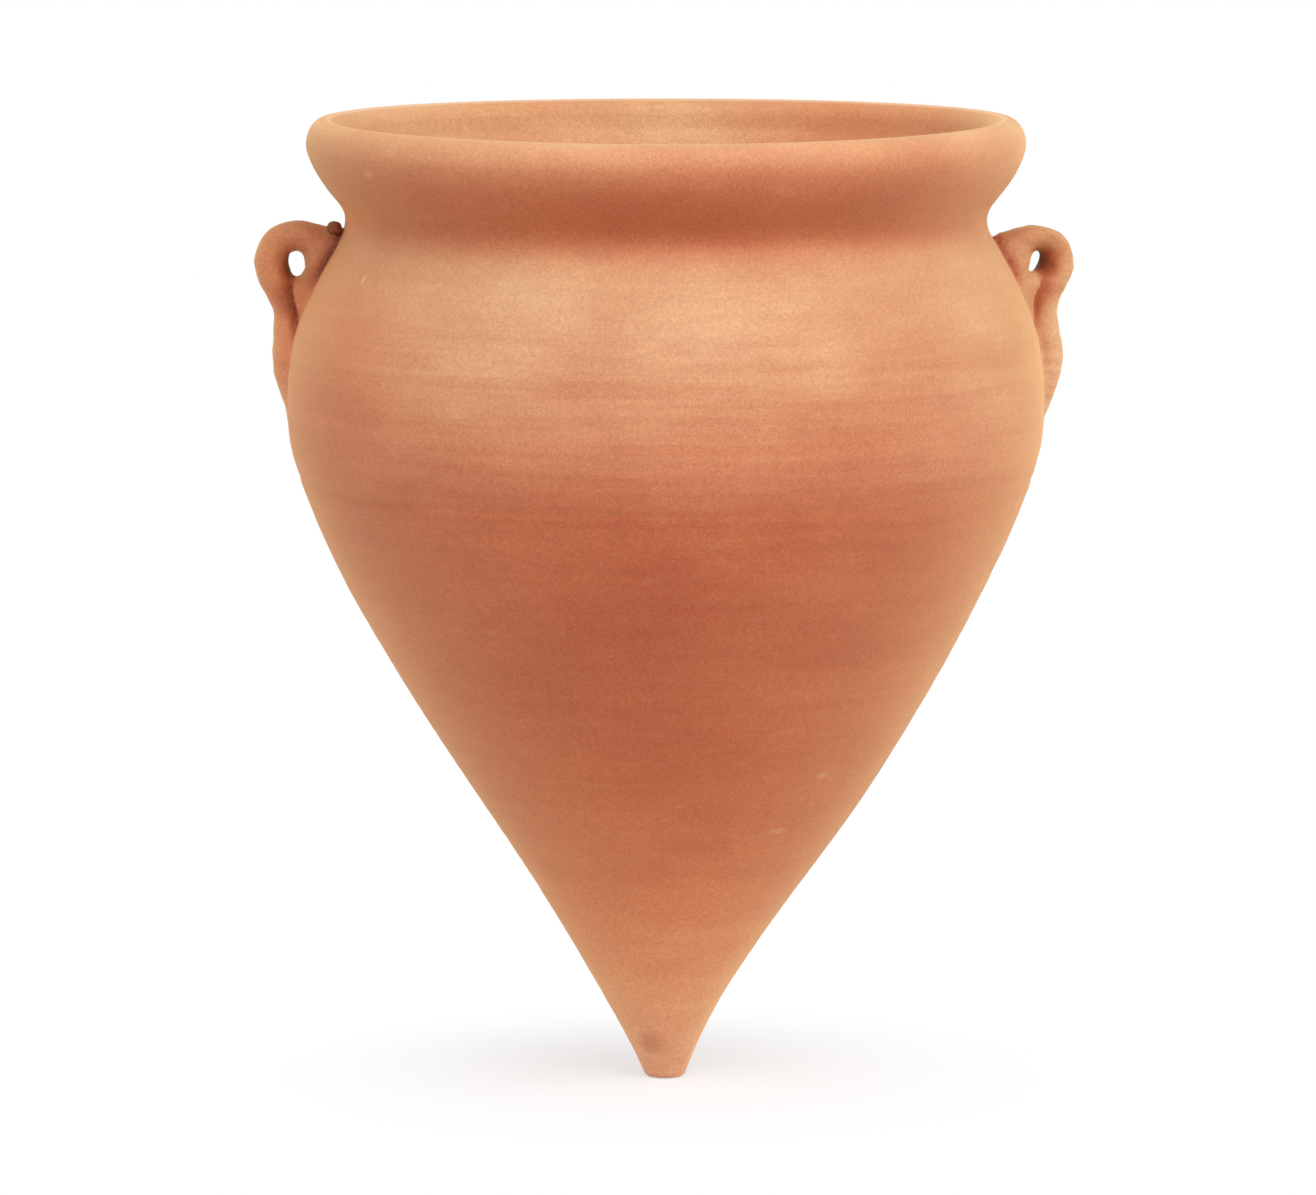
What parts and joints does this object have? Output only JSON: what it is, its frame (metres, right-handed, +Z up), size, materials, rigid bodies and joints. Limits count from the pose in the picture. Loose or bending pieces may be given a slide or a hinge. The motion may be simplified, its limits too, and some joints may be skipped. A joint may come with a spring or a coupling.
{
  "type": "pointed terracotta jar planter",
  "caption": "Unglazed terracotta jar with a pointed base, round belly, pinched throat, heavy rolled rim and small ear handles; holds soil and a plant.",
  "frame": {"origin": "middle of the small flat tip, on the surface that the jar stands on", "axes": "+Z up along the jar's axis to the mouth, +X towards the lower of the two handles"},
  "size_m": [0.5092, 0.4686, 0.6],
  "materials": {
    "tip_clay": "matt unglazed terracotta, slightly rubbed",
    "cone_clay": "matt unglazed terracotta with faint throwing rings",
    "shoulder_clay": "matt unglazed terracotta, paler on the shoulder",
    "rim_clay": "matt unglazed terracotta, smoothed by a wet hand",
    "handle_clay": "matt unglazed terracotta, rough where it is luted on",
    "luting_clay": "dark rough clay pellet"
  },
  "bodies": {
    "root": {"foot_tip": "tip_clay", "lower_cone": "cone_clay", "upper_cone": "cone_clay", "shoulder": "shoulder_clay", "neck_collar": "shoulder_clay", "rolled_rim": "rim_clay", "left_handle": "handle_clay", "right_handle": "handle_clay", "left_luting_wad": "luting_clay"}
  },
  "joints": []
}
